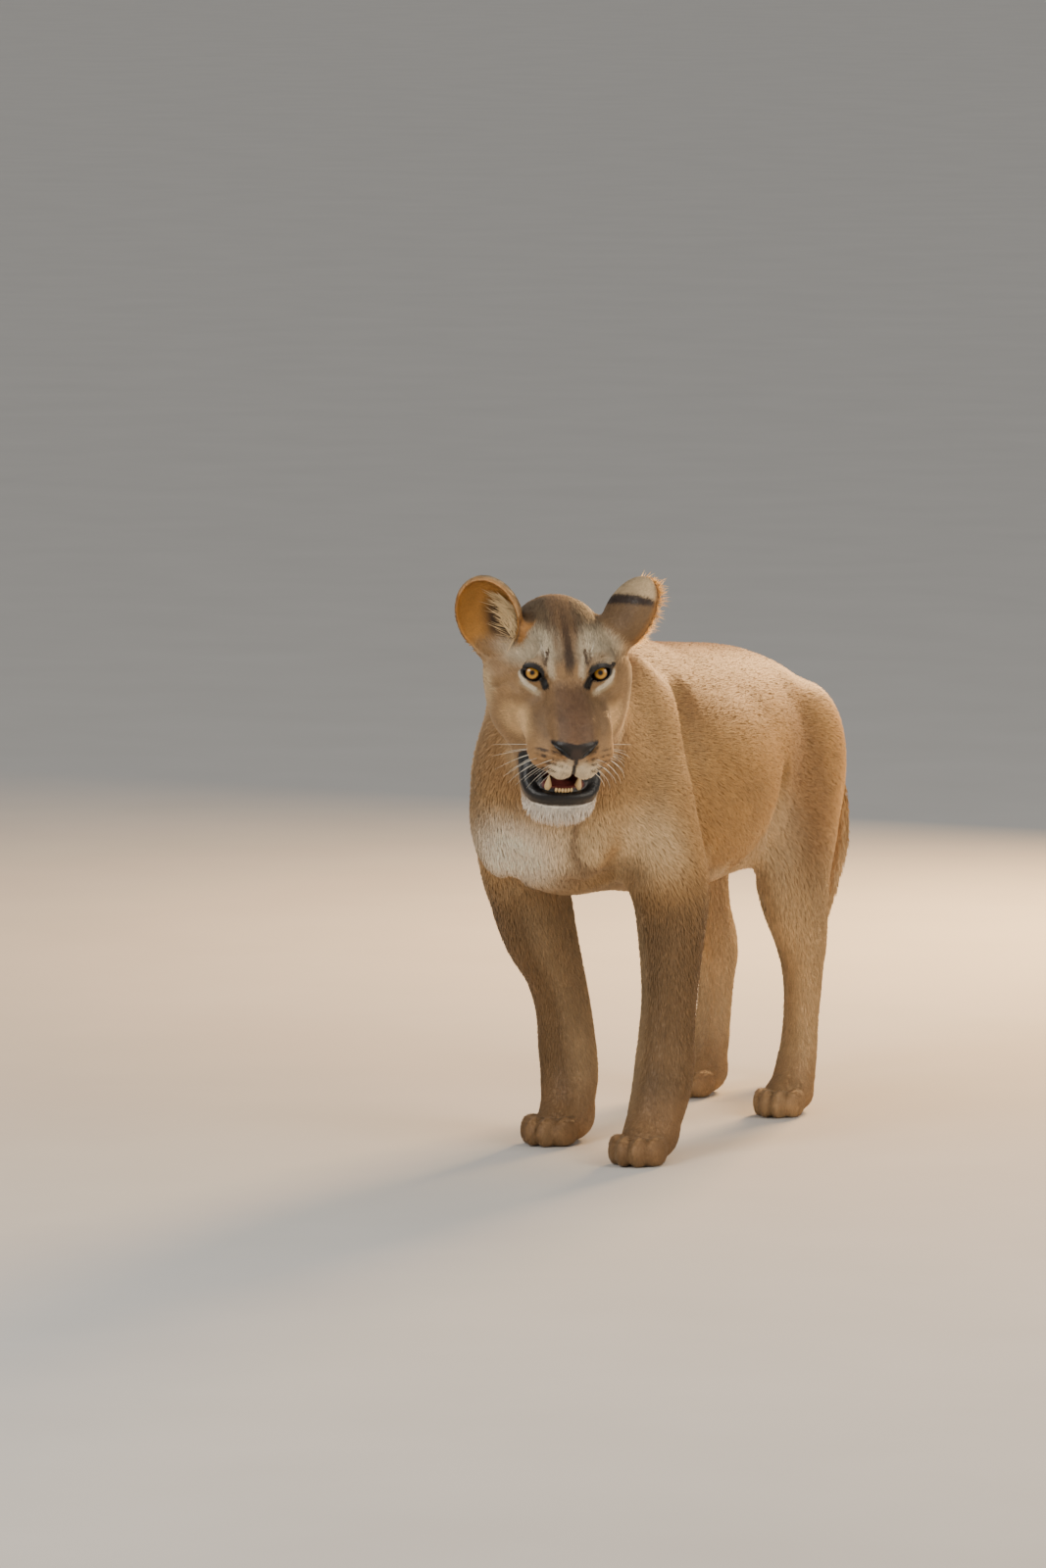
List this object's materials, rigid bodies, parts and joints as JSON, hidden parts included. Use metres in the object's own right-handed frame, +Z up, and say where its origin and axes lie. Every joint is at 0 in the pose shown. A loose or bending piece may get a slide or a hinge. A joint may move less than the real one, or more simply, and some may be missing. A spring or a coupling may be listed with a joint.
{
  "type": "lioness",
  "caption": "Life-size still museum model of a standing lioness, head turned to her left with the mouth open, tail hanging.",
  "frame": {"origin": "the middle of the box's underside, on the floor she stands on", "axes": "-Y is where her chest points, +Y runs to her tail, +X is her left side, +Z is up"},
  "size_m": [0.4578, 1.4118, 0.9717],
  "materials": {
    "coat": "short fur",
    "pale_coat": "short fur",
    "ear_coat": "short fur",
    "eye": "gloss",
    "tongue": "moist"
  },
  "bodies": {
    "root": {"head": "coat", "lower_jaw": "pale_coat", "tongue": "tongue", "ear_left": "ear_coat", "ear_right": "ear_coat", "eye_left": "eye", "eye_right": "eye", "neck": "coat", "trunk": "coat", "tail": "coat", "foreleg_left": "coat", "foreleg_right": "coat", "forepaw_left": "coat", "forepaw_right": "coat", "hindleg_left": "coat", "hindleg_right": "coat", "hindpaw_left": "coat", "hindpaw_right": "coat"}
  },
  "joints": []
}
